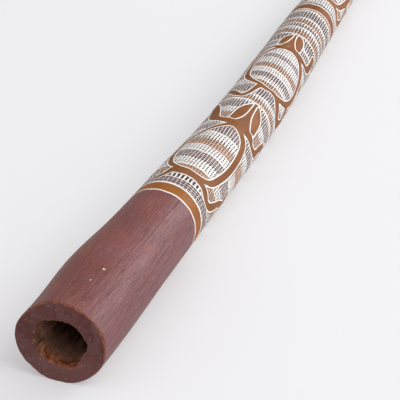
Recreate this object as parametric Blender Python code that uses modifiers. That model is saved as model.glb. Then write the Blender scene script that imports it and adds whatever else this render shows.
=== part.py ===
# Didgeridoo: one hollowed tree branch with a beeswax mouth ring.
# It lies on the surface z = 0 with its long axis along Y: the wide bell end
# at -Y, the mouth end at +Y. The natural crook of the branch lies in the
# horizontal plane, towards +X. All lengths are in metres.
import math

import bmesh
import bpy
from mathutils import Matrix, Vector

# ---------------------------------------------------------------- dimensions
TRUNK_LENGTH = 1.300          # wood only, bell face to mouth face
BELL_RADIUS = 0.0454          # mean outer radius at the sawn bell end
MOUTH_RADIUS = 0.0268         # outer radius where the wax ring sits
TRUNK_SIDES = 32              # sides of one section of the branch
TRUNK_RINGS = 66              # sections along the branch

CROOK = 0.0182                # sideways bow of the branch at its middle
WAVE = 0.0014                 # small second wave on the bow
WAVE_PERIOD = 0.580
WAVE_PHASE = -1.2175

BORE_BELL_RADIUS = 0.0264     # mean radius of the hollow at the bell face
BORE_MOUTH_RADIUS = 0.0165    # radius of the hollow under the wax ring
BORE_SIDES = 24
BORE_RINGS = 44
BORE_OFFSET_X = -0.0009       # the hollow is a little off centre at the bell
BORE_OFFSET_Z = -0.0007

RIM_WEAR = 0.0016             # rounding of the sawn edges
NECK_RISE_FROM = 1.11         # the mouth end bends up a little from here, so
NECK_RISE_OVER = 0.19         # that the wax ring just clears the surface

FIT_GAP = 0.0003              # air between wax and wood
WAX_HOLE_RADIUS = 0.0142      # hole the player blows into
WAX_OUTER_RADIUS = 0.0294
WAX_NOSE = 0.0085             # how far the ring stands past the wood
WAX_SKIRT = 0.0130            # how far it laps down outside the wood
WAX_LIP = 0.0150              # how far it reaches into the hollow
WAX_STEPS = 48

# harmonics of the bell outline: (order, size relative to the mean radius,
# phase in degrees). They die out towards the mouth, which is dressed round.
OUTER_LOBES = ((2, 0.0350, 32.0), (3, 0.0062, 176.0),
               (4, 0.0095, 33.0), (5, 0.0044, -151.0))
BORE_LOBES = ((2, 0.0360, -8.0), (3, 0.0326, 101.0), (4, 0.0110, 125.0),
              (5, 0.0258, 24.0), (6, 0.0136, 12.0))

# ------------------------------------------------------------------ clean up
for old in list(bpy.data.objects):
    bpy.data.objects.remove(old, do_unlink=True)
for old in list(bpy.data.meshes):
    bpy.data.meshes.remove(old)
for old in list(bpy.data.materials):
    bpy.data.materials.remove(old)

scene = bpy.context.scene
parts = bpy.data.collections.new("didgeridoo")
guides = bpy.data.collections.new("guides")
scene.collection.children.link(parts)
scene.collection.children.link(guides)


def material(name, colour, roughness, metallic=0.0):
    mat = bpy.data.materials.new(name)
    mat.use_nodes = True
    shader = mat.node_tree.nodes["Principled BSDF"]
    shader.inputs["Base Color"].default_value = (*colour, 1.0)
    shader.inputs["Roughness"].default_value = roughness
    shader.inputs["Metallic"].default_value = metallic
    mat.diffuse_color = (*colour, 1.0)
    return mat


# -------------------------------------------------------- shape of the branch
def clamp01(v):
    return max(0.0, min(1.0, v))


def section_radius(s, angle):
    """Outer radius of the branch at s along it and at an angle round it."""
    t = clamp01(s / TRUNK_LENGTH)
    mean = BELL_RADIUS + (MOUTH_RADIUS - BELL_RADIUS) * t
    mean += -0.0008 * math.sin(math.pi * t) + 0.0013 * math.sin(2 * math.pi * t)
    mean += -0.0010 * math.sin(3 * math.pi * t) + 0.0010 * math.sin(4 * math.pi * t)
    # the section turns slowly along the branch and gets rounder
    size = (1.0 - t) * (1.0 - 0.45 * math.sin(math.pi * t))
    r = mean
    for order, amount, phase in OUTER_LOBES:
        turn = math.radians(phase) + 1.9 * t * order
        r += mean * amount * size * math.cos(order * angle - turn)
    # two shallow swellings left where side branches were cut away
    for where, facing, height in ((0.43, 0.6, 0.0011), (0.86, 2.6, 0.0009)):
        along = (s - where) / 0.045
        round_ = math.cos(angle - facing)
        if round_ > 0.0:
            r += height * math.exp(-along * along) * round_ ** 6
    return r


def bore_radius(s, angle):
    """Radius of the natural hollow at s along the branch."""
    t = clamp01(s / TRUNK_LENGTH)
    mean = BORE_BELL_RADIUS + (BORE_MOUTH_RADIUS - BORE_BELL_RADIUS) * t
    mean += 0.0006 * math.sin(5.0 * math.pi * t)
    r = mean
    size = (1.0 - t) ** 0.5
    for order, amount, phase in BORE_LOBES:
        turn = math.radians(phase) - 1.3 * t * order
        r += mean * amount * size * math.cos(order * angle - turn)
    return r


def side_angles(sides):
    # half a step of offset lays a flat facet on the surface
    step = 2.0 * math.pi / sides
    return [step * (j + 0.5) for j in range(sides)]


def crook(s):
    """Sideways position of the middle of the branch."""
    fade = clamp01(s / 0.1) * clamp01((1.2 - s) / 0.3)
    wave = math.sin(2.0 * math.pi * s / WAVE_PERIOD + WAVE_PHASE)
    return CROOK * math.sin(math.pi * s / TRUNK_LENGTH) - WAVE * wave * fade


def rest_height(s):
    """Height at which the lowest side of the section touches the surface."""
    low = -min(section_radius(s, a) * math.sin(a)
               for a in side_angles(TRUNK_SIDES))
    k = clamp01((s - NECK_RISE_FROM) / NECK_RISE_OVER)
    rise = WAX_OUTER_RADIUS - MOUTH_RADIUS + 0.0003
    return low + rise * k * k * (3.0 - 2.0 * k)


def centre(s):
    if s < 0.0 or s > TRUNK_LENGTH:
        # straight on past either end, for the cutter
        end = 0.0 if s < 0.0 else TRUNK_LENGTH
        return centre(end) + tangent(end) * (s - end)
    return Vector((crook(s), s, rest_height(s)))


def tangent(s):
    h = 0.004
    lo = max(0.0, s - h)
    hi = min(TRUNK_LENGTH, s + h)
    return (centre(hi) - centre(lo)).normalized()


def cross_axes(s):
    t = tangent(max(0.0, min(TRUNK_LENGTH, s)))
    u = t.cross(Vector((0.0, 0.0, 1.0))).normalized()
    return u, u.cross(t).normalized()


def loft(name, stations, sides, radius, offset=None):
    """Closed skin through unlike sections, one ring of faces per station."""
    mesh = bpy.data.meshes.new(name)
    bm = bmesh.new()
    rings = []
    for s in stations:
        c = centre(s)
        u, w = cross_axes(s)
        if offset is not None:
            fade = 1.0 - clamp01(s / TRUNK_LENGTH)
            c = c + u * (offset[0] * fade) + w * (offset[1] * fade)
        ring = []
        for a in side_angles(sides):
            r = radius(s, a)
            ring.append(bm.verts.new(c + u * (r * math.cos(a)) + w * (r * math.sin(a))))
        rings.append(ring)
    for a, b in zip(rings, rings[1:]):
        for j in range(sides):
            k = (j + 1) % sides
            bm.faces.new((a[j], a[k], b[k], b[j]))
    bm.faces.new(rings[0])
    bm.faces.new(list(reversed(rings[-1])))
    bmesh.ops.recalc_face_normals(bm, faces=bm.faces)
    bm.to_mesh(mesh)
    bm.free()
    return bpy.data.objects.new(name, mesh)


def bake_modifiers(obj):
    graph = bpy.context.evaluated_depsgraph_get()
    done = bpy.data.meshes.new_from_object(obj.evaluated_get(graph))
    obj.modifiers.clear()
    old = obj.data
    name = old.name
    obj.data = done
    bpy.data.meshes.remove(old)
    done.name = name


def shade(obj, sharp_deg):
    for face in obj.data.polygons:
        face.use_smooth = True
    obj.data.set_sharp_from_angle(angle=math.radians(sharp_deg))


# --------------------------------------------------------------------- trunk
stations = [TRUNK_LENGTH * i / TRUNK_RINGS for i in range(TRUNK_RINGS + 1)]
trunk = loft("trunk", stations, TRUNK_SIDES, section_radius)
trunk.data.materials.append(material("painted_wood", (0.245, 0.105, 0.075), 0.5))
parts.objects.link(trunk)

past = 0.020
bore_stations = [-past + (TRUNK_LENGTH + 2 * past) * i / BORE_RINGS
                 for i in range(BORE_RINGS + 1)]
bore = loft("bore_cutter", bore_stations, BORE_SIDES, bore_radius,
            (BORE_OFFSET_X, BORE_OFFSET_Z))
bore.hide_render = True
bore.display_type = 'WIRE'
guides.objects.link(bore)

hollow = trunk.modifiers.new("hollow", 'BOOLEAN')
hollow.operation = 'DIFFERENCE'
hollow.solver = 'EXACT'
hollow.object = bore
rims = trunk.modifiers.new("worn_rims", 'BEVEL')
rims.width = RIM_WEAR
rims.segments = 2
rims.limit_method = 'ANGLE'
rims.angle_limit = math.radians(60.0)
rims.use_clamp_overlap = True
bake_modifiers(trunk)
shade(trunk, 40.0)

# ---------------------------------------------------------------- mouthpiece
# Profile of the wax ring, as (radius, distance past the wood's mouth face).
# It laps the outside of the wood, covers the sawn face and lines the hollow.
face_gap = FIT_GAP
skirt_in = MOUTH_RADIUS + FIT_GAP + 0.0002
lip_out = BORE_MOUTH_RADIUS * math.cos(math.pi / BORE_SIDES) - FIT_GAP - 0.0002


def nose(steps):
    """Rounded nose from the outside of the ring round to its hole."""
    mid = 0.5 * (WAX_OUTER_RADIUS + WAX_HOLE_RADIUS)
    half = 0.5 * (WAX_OUTER_RADIUS - WAX_HOLE_RADIUS)
    out = []
    for i in range(steps + 1):
        a = math.pi * i / steps
        c, s = math.cos(a), math.sin(a)
        # a squarish half round: fuller than a circle
        x = math.copysign(abs(c) ** 0.8, c)
        out.append((mid + half * x, WAX_NOSE * abs(s) ** 0.85))
    return out


profile = [(lip_out, face_gap), (skirt_in, face_gap), (skirt_in, -WAX_SKIRT),
           (skirt_in + 0.0010, -WAX_SKIRT - 0.0004),
           (skirt_in + 0.0019, -WAX_SKIRT * 0.72),
           (WAX_OUTER_RADIUS - 0.0003, -WAX_SKIRT * 0.34)]
profile += nose(12)
profile += [(WAX_HOLE_RADIUS, -WAX_LIP * 0.55), (WAX_HOLE_RADIUS + 0.0008, -WAX_LIP),
            (lip_out, -WAX_LIP)]

mesh = bpy.data.meshes.new("mouthpiece")
bm = bmesh.new()
points = [bm.verts.new((r, 0.0, h)) for r, h in profile]
for i in range(len(points)):
    bm.edges.new((points[i], points[(i + 1) % len(points)]))
bm.to_mesh(mesh)
bm.free()
wax = bpy.data.objects.new("mouthpiece", mesh)
wax.data.materials.append(material("beeswax", (0.155, 0.070, 0.022), 0.42))
parts.objects.link(wax)
turn = wax.modifiers.new("revolve", 'SCREW')
turn.axis = 'Z'
turn.angle = 2.0 * math.pi
turn.steps = WAX_STEPS
turn.render_steps = WAX_STEPS
turn.use_merge_vertices = True
turn.merge_threshold = 0.0001
turn.use_normal_calculate = True
bake_modifiers(wax)

mouth = centre(TRUNK_LENGTH)
axis = tangent(TRUNK_LENGTH)
u, w = cross_axes(TRUNK_LENGTH)
place = Matrix((
    (u.x, w.x, axis.x, mouth.x),
    (u.y, w.y, axis.y, mouth.y),
    (u.z, w.z, axis.z, mouth.z),
    (0.0, 0.0, 0.0, 1.0),
))
bm = bmesh.new()
bm.from_mesh(wax.data)
bmesh.ops.recalc_face_normals(bm, faces=bm.faces)
bm.to_mesh(wax.data)
bm.free()
shade(wax, 45.0)
wax.matrix_world = place

# ------------------------------------------------------- origin of the object
# The origin is the middle of the footprint, on the surface it lies on.
corners = [v.co for v in trunk.data.vertices]
corners += [place @ v.co for v in wax.data.vertices]
low = [min(c[i] for c in corners) for i in range(3)]
high = [max(c[i] for c in corners) for i in range(3)]
shift = Matrix.Translation((-0.5 * (low[0] + high[0]), -0.5 * (low[1] + high[1]),
                            -low[2]))
for obj in (trunk, wax, bore):
    obj.matrix_world = shift @ obj.matrix_world
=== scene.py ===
# Didgeridoo: a hollowed, crooked branch, painted, with a beeswax mouth ring.
# The wood and the paint on it are one piece, and the wax ring is the other.
import math

import bpy
import numpy as np
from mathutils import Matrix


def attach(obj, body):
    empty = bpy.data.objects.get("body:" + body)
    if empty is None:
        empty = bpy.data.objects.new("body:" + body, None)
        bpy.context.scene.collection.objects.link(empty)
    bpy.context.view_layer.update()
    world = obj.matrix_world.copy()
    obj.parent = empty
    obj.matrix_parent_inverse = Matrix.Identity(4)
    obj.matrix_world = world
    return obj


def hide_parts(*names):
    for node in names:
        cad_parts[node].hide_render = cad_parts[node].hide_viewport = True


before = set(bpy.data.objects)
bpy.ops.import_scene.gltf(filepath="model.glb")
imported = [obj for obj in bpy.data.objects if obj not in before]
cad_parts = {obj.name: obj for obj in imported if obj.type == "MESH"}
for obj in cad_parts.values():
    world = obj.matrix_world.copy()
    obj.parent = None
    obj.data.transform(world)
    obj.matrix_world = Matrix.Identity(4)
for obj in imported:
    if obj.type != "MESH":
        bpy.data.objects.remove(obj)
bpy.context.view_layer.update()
scene = bpy.context.scene
scene.view_settings.view_transform = 'Standard'
scene.view_settings.look = 'None'
scene.view_settings.exposure = 0.0
scene.view_settings.gamma = 1.0

# =====================================================================
# shape of the branch, the same as the CAD part's (metres)
# =====================================================================
L = 1.300
BELL_R, MOUTH_R = 0.0454, 0.0268
CROOK, WAVE, WAVE_T, WAVE_PH = 0.0182, 0.0014, 0.580, -1.2175
BORE_BELL_R, BORE_MOUTH_R = 0.0264, 0.0165
BORE_OFF = (-0.0009, -0.0007)
NECK_FROM, NECK_OVER, WAX_OUT = 1.11, 0.19, 0.0294
WAX_HOLE, WAX_NOSE, WAX_SKIRT, WAX_LIP = 0.0142, 0.0085, 0.0130, 0.0150
OUTER_LOBES = ((2, 0.0350, 32.0), (3, 0.0062, 176.0), (4, 0.0095, 33.0), (5, 0.0044, -151.0))
BORE_LOBES = ((2, 0.0360, -8.0), (3, 0.0326, 101.0), (4, 0.0110, 125.0),
              (5, 0.0258, 24.0), (6, 0.0136, 12.0))
SHIFT = np.array([-0.003866, -0.65348, 0.0])      # branch frame to row frame


def clamp01(v):
    return np.clip(v, 0.0, 1.0)


def section_radius(s, ang):
    t = clamp01(s / L)
    mean = BELL_R + (MOUTH_R - BELL_R) * t
    mean = mean - 0.0008 * np.sin(np.pi * t) + 0.0013 * np.sin(2 * np.pi * t)
    mean = mean - 0.0010 * np.sin(3 * np.pi * t) + 0.0010 * np.sin(4 * np.pi * t)
    size = (1.0 - t) * (1.0 - 0.45 * np.sin(np.pi * t))
    r = mean + 0.0 * ang
    for order, amount, phase in OUTER_LOBES:
        r = r + mean * amount * size * np.cos(order * ang - (np.radians(phase) + 1.9 * t * order))
    for where, facing, height in ((0.43, 0.6, 0.0011), (0.86, 2.6, 0.0009)):
        along = (s - where) / 0.045
        r = r + height * np.exp(-along * along) * np.clip(np.cos(ang - facing), 0, 1) ** 6
    return r


def mean_radius(s):
    t = clamp01(s / L)
    mean = BELL_R + (MOUTH_R - BELL_R) * t
    mean = mean - 0.0008 * np.sin(np.pi * t) + 0.0013 * np.sin(2 * np.pi * t)
    return mean - 0.0010 * np.sin(3 * np.pi * t) + 0.0010 * np.sin(4 * np.pi * t)


def bore_radius(s, ang):
    t = clamp01(s / L)
    mean = BORE_BELL_R + (BORE_MOUTH_R - BORE_BELL_R) * t + 0.0006 * np.sin(5.0 * np.pi * t)
    size = (1.0 - t) ** 0.5
    r = mean + 0.0 * ang
    for order, amount, phase in BORE_LOBES:
        r = r + mean * amount * size * np.cos(order * ang - (np.radians(phase) - 1.3 * t * order))
    return r


def crook(s):
    fade = clamp01(s / 0.1) * clamp01((1.2 - s) / 0.3)
    return CROOK * np.sin(np.pi * s / L) - WAVE * np.sin(2 * np.pi * s / WAVE_T + WAVE_PH) * fade


CAD_SIDES = 2 * np.pi / 32 * (np.arange(32) + 0.5)


def rest_height(s):
    s = np.atleast_1d(s)
    low = -np.min(section_radius(s[:, None], CAD_SIDES[None, :]) * np.sin(CAD_SIDES), axis=1)
    k = clamp01((s - NECK_FROM) / NECK_OVER)
    return low + (WAX_OUT - MOUTH_R + 0.0003) * k * k * (3.0 - 2.0 * k)


def centre(s):
    s = np.atleast_1d(np.asarray(s, float))
    inside = np.clip(s, 0.0, L)
    c = np.stack([crook(inside), inside, rest_height(inside)], -1)
    return c + tangent_in(inside) * (s - inside)[:, None]


def tangent_in(s):
    lo, hi = np.maximum(0.0, s - 0.004), np.minimum(L, s + 0.004)
    d = np.stack([crook(hi) - crook(lo), hi - lo, rest_height(hi) - rest_height(lo)], -1)
    return d / np.linalg.norm(d, axis=1)[:, None]


def axes(s):
    t = tangent_in(np.clip(np.atleast_1d(s), 0.0, L))
    u = np.cross(t, np.array([0.0, 0.0, 1.0]))
    u /= np.linalg.norm(u, axis=1)[:, None]
    return t, u, np.cross(u, t)


# ---------------------------------------------------------------------
# smooth random fields on the skin: sums of waves, whole numbers round it
# ---------------------------------------------------------------------
def field(seed, s, ang, waves, s_cycles, a_orders):
    """Random field near -1..1. s_cycles are cycles per metre, a_orders whole."""
    rng = np.random.RandomState(seed)
    out = np.zeros(np.broadcast(s, ang).shape)
    for _ in range(waves):
        ks = rng.uniform(*s_cycles) * rng.choice((-1, 1))
        ka = rng.randint(a_orders[0], a_orders[1] + 1)
        out += np.cos(2 * np.pi * ks * s + ka * ang + rng.uniform(0, 2 * np.pi))
    return out / math.sqrt(waves / 2.0) / 1.6


def smooth(a, b, x):
    t = clamp01((x - a) / (b - a))
    return t * t * (3 - 2 * t)


# =====================================================================
# trunk mesh: outer skin, worn rim, sawn face, ragged lip, hollow, mouth
# =====================================================================
NT = 144
theta = 2 * np.pi * np.arange(NT) / NT

rings, ring_s, ring_part = [], [], []      # part 0 outer, 1 rim, 2 face, 3 lip, 4 bore, 5 mouth


def add(points, s, part):
    rings.append(points)
    ring_s.append(np.broadcast_to(np.asarray(s, float), (NT,)).copy())
    ring_part.append(part)


def outer_point(s, r):
    c = centre(s)
    _, u, w = axes(s)
    return c + r[:, None] * (u * np.cos(theta)[:, None] + w * np.sin(theta)[:, None])


def skin_relief(s, ang):
    """Hand-worked surface of the wood: slow swells, scraped lengthwise flats."""
    keep = 1.0 - smooth(1.262, 1.280, s)
    slow = 0.00032 * field(11, s, ang, 14, (2.0, 9.0), (1, 5))
    flats = 0.00013 * field(12, s, ang, 22, (1.0, 9.0), (9, 20))
    fine = 0.00005 * field(13, s, ang, 26, (4.0, 30.0), (22, 46))
    swell = 0.0049 * np.exp(-((s - 0.112) / 0.060) ** 2) * clamp01(np.cos(ang - math.radians(148.0))) ** 1.6
    heel = 0.0018 * (1.0 - smooth(0.01, 0.13, s)) * clamp01(np.cos(ang - math.radians(218.0))) ** 1.5
    return (slow + flats + fine) * keep + swell + heel


one = np.ones(NT)
rim_w = 0.0013 + 0.0007 * field(21, 0.0, theta, 12, (0, 0), (2, 9)) \
    + 0.0004 * field(22, 0.0, theta, 14, (0, 0), (12, 34))
rim_w = np.clip(rim_w, 0.0005, 0.0030)
lip_w = 0.0008 + 0.0006 * field(23, 0.0, theta, 16, (0, 0), (3, 14)) \
    + 0.0004 * field(24, 0.0, theta, 18, (0, 0), (16, 40))
lip_w = np.clip(lip_w, 0.0003, 0.0026)

# outer skin from the mouth back to the bell
S_OUT = np.concatenate([np.linspace(L - 0.0012, 1.12, 38)[:-1],
                        np.linspace(1.12, 0.246, 432)[:-1],
                        np.linspace(0.246, 0.020, 58)[:-1],
                        np.linspace(0.020, 0.006, 6)])
for s in S_OUT:
    r = section_radius(s, theta) + skin_relief(s, theta)
    add(outer_point(s * one, r), s, 0)
r_edge = section_radius(0.0, theta) + skin_relief(0.004, theta)
for k, s0 in enumerate((0.0042, 0.0030)):
    add(outer_point(s0 * one, r_edge), s0, 0)
for phi in np.radians(np.linspace(0, 90, 6)):
    s = rim_w * (1 - np.sin(phi))
    r = r_edge - rim_w * (1 - np.cos(phi))
    add(outer_point(s, r), s, 1)

# sawn face, with faint saw steps, between rim and lip
c0 = centre(0.0)[0]
t0, u0, w0 = (v[0] for v in axes(0.0))
off0 = u0 * BORE_OFF[0] + w0 * BORE_OFF[1]
radial = u0[None, :] * np.cos(theta)[:, None] + w0[None, :] * np.sin(theta)[:, None]
lip_noise = 0.00030 * field(31, 0.0, theta, 14, (0, 0), (7, 15)) \
    + 0.00042 * field(32, 0.0, theta, 22, (0, 0), (16, 48))


def bore_relief(s, ang):
    ridges = 0.00055 * field(41, s, ang, 26, (1.0, 12.0), (5, 14)) \
        + 0.00035 * field(42, s, ang, 30, (4.0, 40.0), (14, 40))
    pits = 0.0005 * field(43, s, ang, 22, (12.0, 45.0), (3, 14))
    keep = (0.35 + 0.65 * smooth(0.0, 0.02, s)) * (1.0 - smooth(1.262, 1.282, s))
    return (ridges + pits) * keep


r_in0 = bore_radius(0.0, theta) + lip_noise
outer_in = c0 + radial * (r_edge - rim_w)[:, None]
inner_out = c0 + off0 + radial * (r_in0 + lip_w)[:, None]
FACE = 15
for k in range(1, FACE):
    f = k / FACE
    p = outer_in + (inner_out - outer_in) * f
    dip = 0.00010 * np.sin(p @ (u0 * 0.8 + w0 * 0.6) * 2 * np.pi / 0.0047 + 1.0) \
        + 0.00016 * field(33, f * 0.05, theta, 16, (8.0, 40.0), (1, 9))
    add(p + t0[None, :] * (dip * math.sin(math.pi * f))[:, None], 0.0, 2)

# the lip where the hollow meets the face is chipped and rounded
for phi in np.radians(np.linspace(90, 0, 6)):
    s = lip_w * (1 - np.sin(phi))
    r = r_in0 + lip_w * (1 - np.cos(phi))
    add(c0 + off0 + radial * r[:, None] + t0[None, :] * s[:, None], s, 3)


def bore_ring(s):
    fade = 1.0 - clamp01(s / L)
    c = centre(s * one)
    _, u, w = axes(s * one)
    c = c + u * (BORE_OFF[0] * fade) + w * (BORE_OFF[1] * fade)
    blend = 1 - smooth(0.0, 0.012, s)
    r = bore_radius(s, theta) + bore_relief(s, theta) * (1 - blend) + lip_noise * blend
    return c + r[:, None] * (u * np.cos(theta)[:, None] + w * np.sin(theta)[:, None])


S_BORE = np.concatenate([np.linspace(0.0035, 0.16, 62)[:-1], np.linspace(0.16, L - 0.0016, 60)])
for s in S_BORE:
    add(bore_ring(s), s, 4)
ri = bore_radius(L, theta)
ro = section_radius(L, theta)
for s, f in ((L - 0.0007, 0.0), (L, 0.07), (L, 0.5), (L, 0.93)):
    c = centre(s * one)
    _, u, w = axes(s * one)
    r = ri + (ro - ri) * f + (0.0 if 0 < f < 1 else 0.00005)
    add(c + r[:, None] * (u * np.cos(theta)[:, None] + w * np.sin(theta)[:, None]), s, 5)

P = np.array(rings)                           # (rings, NT, 3)
RS = np.array(ring_s)
PART = np.array(ring_part)
NR = len(P)
P = P + SHIFT
P[..., 2] = np.maximum(P[..., 2], 0.00005)    # it rests on the surface

idx = np.arange(NR * NT).reshape(NR, NT)
a = idx
b = np.roll(idx, -1, axis=1)
c = np.roll(b, -1, axis=0)
d = np.roll(idx, -1, axis=0)
quads = np.stack([a, d, c, b], -1).reshape(-1, 4)

mesh = bpy.data.meshes.new("painted_branch")
mesh.vertices.add(NR * NT)
mesh.vertices.foreach_set("co", P.reshape(-1).astype(np.float32))
mesh.loops.add(len(quads) * 4)
mesh.loops.foreach_set("vertex_index", quads.reshape(-1).astype(np.int32))
mesh.polygons.add(len(quads))
mesh.polygons.foreach_set("loop_start", (np.arange(len(quads)) * 4).astype(np.int32))
mesh.polygons.foreach_set("loop_total", np.full(len(quads), 4, np.int32))
mesh.update(calc_edges=True)
mesh.validate()
v = P.reshape(-1, 3)
q = v[quads]
vol = np.einsum('ij,ij->i', q[:, 0], np.cross(q[:, 1], q[:, 2])).sum() \
    + np.einsum('ij,ij->i', q[:, 0], np.cross(q[:, 2], q[:, 3])).sum()
if vol < 0:
    mesh.flip_normals()
mesh.polygons.foreach_set("use_smooth", np.ones(len(quads), bool))
trunk = bpy.data.objects.new("painted_branch", mesh)
scene.collection.objects.link(trunk)

# =====================================================================
# the painted pattern, laid out on the unrolled skin
# s in millimetres from the sawn face, angle in degrees (0 at +X, 90 up)
# =====================================================================
S = RS * 1000.0
TH = np.degrees(np.broadcast_to(theta, RS.shape))
RM = mean_radius(RS) * 1000.0


def wrap(deg):
    return (deg + 180.0) % 360.0 - 180.0


def curve(points, closed=False, steps=5):
    """Smooth run of (s, angle, half width) through the given points."""
    p = np.array([q if len(q) == 3 else (*q, 0.0) for q in points], float)
    n = len(p)
    out = []
    for i in range(n if closed else n - 1):
        if closed:
            p0, p1, p2, p3 = p[i - 1], p[i], p[(i + 1) % n], p[(i + 2) % n]
        else:
            p0, p1, p2, p3 = p[max(i - 1, 0)], p[i], p[i + 1], p[min(i + 2, n - 1)]
        for k in range(steps):
            t = k / steps
            out.append(0.5 * (2 * p1 + (p2 - p0) * t + (2 * p0 - 5 * p1 + 4 * p2 - p3) * t * t
                              + (3 * p1 - p0 - 3 * p2 + p3) * t ** 3))
    out.append(p[0] if closed else p[-1])
    return np.array(out)


def near(lo, hi):
    """Rings between two stations, so that far ones aren't worked out."""
    sel = (S[:, 0] > lo) & (S[:, 0] < hi) & (PART <= 1)
    return np.where(sel)[0]


def stroke(dist, line):
    """Lower dist (mm, negative inside) to that of a brush stroke."""
    rows = near(line[:, 0].min() - 30, line[:, 0].max() + 30)
    if not len(rows):
        return
    s, th, rm = S[rows], TH[rows], RM[rows]
    best = np.full(s.shape, 1e3)
    for p0, p1 in zip(line[:-1], line[1:]):
        mid = 0.5 * (p0[1] + p1[1])
        y = np.radians(wrap(th - mid)) * rm
        x0, x1 = p0[0], p1[0]
        y0, y1 = np.radians(p0[1] - mid) * rm, np.radians(p1[1] - mid) * rm
        dx, dy = x1 - x0, y1 - y0
        t = np.clip(((s - x0) * dx + (y - y0) * dy) / (dx * dx + dy * dy + 1e-9), 0, 1)
        e = np.hypot(s - x0 - t * dx, y - y0 - t * dy) - (p0[2] + (p1[2] - p0[2]) * t)
        best = np.minimum(best, e)
    dist[rows] = np.minimum(dist[rows], best)


def shape(line):
    """Signed distance (mm) to a closed outline, negative inside."""
    out = np.full(S.shape, 1e3)
    rows = near(line[:, 0].min() - 30, line[:, 0].max() + 30)
    if not len(rows):
        return out
    s, th, rm = S[rows], TH[rows], RM[rows]
    mid = 0.5 * (line[:, 1].min() + line[:, 1].max())
    dth = wrap(th - mid)
    best = np.full(s.shape, 1e3)
    inside = np.zeros(s.shape, bool)
    for p0, p1 in zip(line[:-1], line[1:]):
        a0, a1 = p0[1] - mid, p1[1] - mid
        y = np.radians(dth) * rm
        y0, y1 = np.radians(a0) * rm, np.radians(a1) * rm
        dx, dy = p1[0] - p0[0], y1 - y0
        t = np.clip(((s - p0[0]) * dx + (y - y0) * dy) / (dx * dx + dy * dy + 1e-9), 0, 1)
        best = np.minimum(best, np.hypot(s - p0[0] - t * dx, y - y0 - t * dy))
        if a0 != a1:
            cross_ = ((a0 > dth) != (a1 > dth)) & \
                (s < (p1[0] - p0[0]) * (dth - a0) / (a1 - a0) + p0[0])
            inside ^= cross_
    out[rows] = np.where(inside, -best, best)
    return out


def place(points, ds, turn, mirror, grow=1.0, mid=74.0, stretch=1.0, s_mid=0.0):
    """Moves a run of points along the branch and round it."""
    out = []
    for p in points:
        s, an, rest = p[0], p[1], list(p[2:])
        an = (an - mid) * grow
        if mirror:
            an = -an
        out.append([s_mid + (s - s_mid) * stretch + ds, an + mid + turn] + rest)
    return out


straps = np.full(S.shape, 1e3)        # distance to the brown strapwork
veins = np.full(S.shape, 1e3)         # distance to the white lines drawn on brown
medal = np.full(S.shape, 1e3)         # distance to the nearest medallion outline
which = np.zeros(S.shape)             # band origin inside a medallion
cover = np.zeros(S.shape)

MEDAL_A = [(317.5, 74), (319, 90), (330, 107), (350, 118), (377, 121.5), (402, 115),
           (422, 100), (438, 83), (448.5, 66), (447, 52), (432, 37), (408, 29),
           (377, 27), (347, 32), (326, 40), (319, 56)]
MEDAL_B = [(576, 54), (580, 76), (590, 99), (610, 113), (645, 118), (670, 110), (685, 94),
           (692, 72), (690, 50), (680, 31), (660, 14), (638, 3), (615, 3), (594, 14), (580, 34)]


def motif_a(**m):
    inner = curve(place(MEDAL_A, **m), closed=True)
    ins = shape(inner)
    medal[:] = np.where(np.abs(ins) < np.abs(medal), ins, medal)
    edge = place([(316, 76, 3.2), (318, 92, 3.4), (329, 110, 3.0), (350, 121.5, 2.8),
                  (377, 125.5, 2.6), (404, 119, 2.5), (424, 103.5, 2.5), (440, 86.5, 2.6),
                  (451, 70, 3.0), (449, 52, 4.0), (434, 32.5, 4.4), (409, 23.5, 4.5),
                  (377, 21, 4.4), (346, 26, 4.0), (323, 35, 3.8), (314, 54, 3.6)], **m)
    stroke(straps, curve(edge, closed=True))
    stroke(straps, curve(place([(309, 98, 4.6), (309.5, 84, 5.2), (310.5, 66, 5.4),
                                (309, 50, 5.2), (306, 36, 5.0), (298, 20, 4.6),
                                (303, 8, 4.4), (319, -1, 4.3), (336, -9, 4.0),
                                (352, -22, 3.6)], **m)))
    stroke(straps, curve(place([(312, 97, 4.6), (301, 102, 4.0), (292, 112, 3.4),
                                (284, 126, 3.0), (280, 142, 2.6)], **m)))
    stroke(straps, curve(place([(457, 28, 6.2), (458, 48, 7.0), (458, 66, 7.2),
                                (458, 84, 6.2), (460, 98, 5.6), (465, 109, 6.2),
                                (480, 117, 6.8), (500, 127, 6.0), (519, 141, 4.6)], **m)))
    stroke(straps, curve(place([(457, 34, 6.0), (454, 18, 4.2), (456, 5, 4.4), (464, -4, 5.0),
                                (480, -7, 5.0), (497, -11, 3.6)], **m)))
    # a plain pointed leaf made of two lobes
    leaf = curve(place([(463, 80), (478, 81.5), (497, 79), (512, 71), (524.5, 58),
                        (515, 43), (500, 32), (482, 28), (463, 30), (464, 55)], **m), closed=True)
    straps[:] = np.minimum(straps, shape(leaf))
    for lobe in ([(466, 73), (470, 86), (486, 89), (506, 84), (527, 68), (523, 62),
                  (508, 61.5), (492, 62), (478, 65)],
                 [(466, 36), (477, 44), (490, 49.5), (505, 52), (521, 53), (526, 46),
                  (510, 30), (488, 21), (470, 24)]):
        sd_ = shape(curve(place(lobe, **m), closed=True))
        veins[:] = np.where(np.abs(sd_) < np.abs(veins), sd_, veins)


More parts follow.
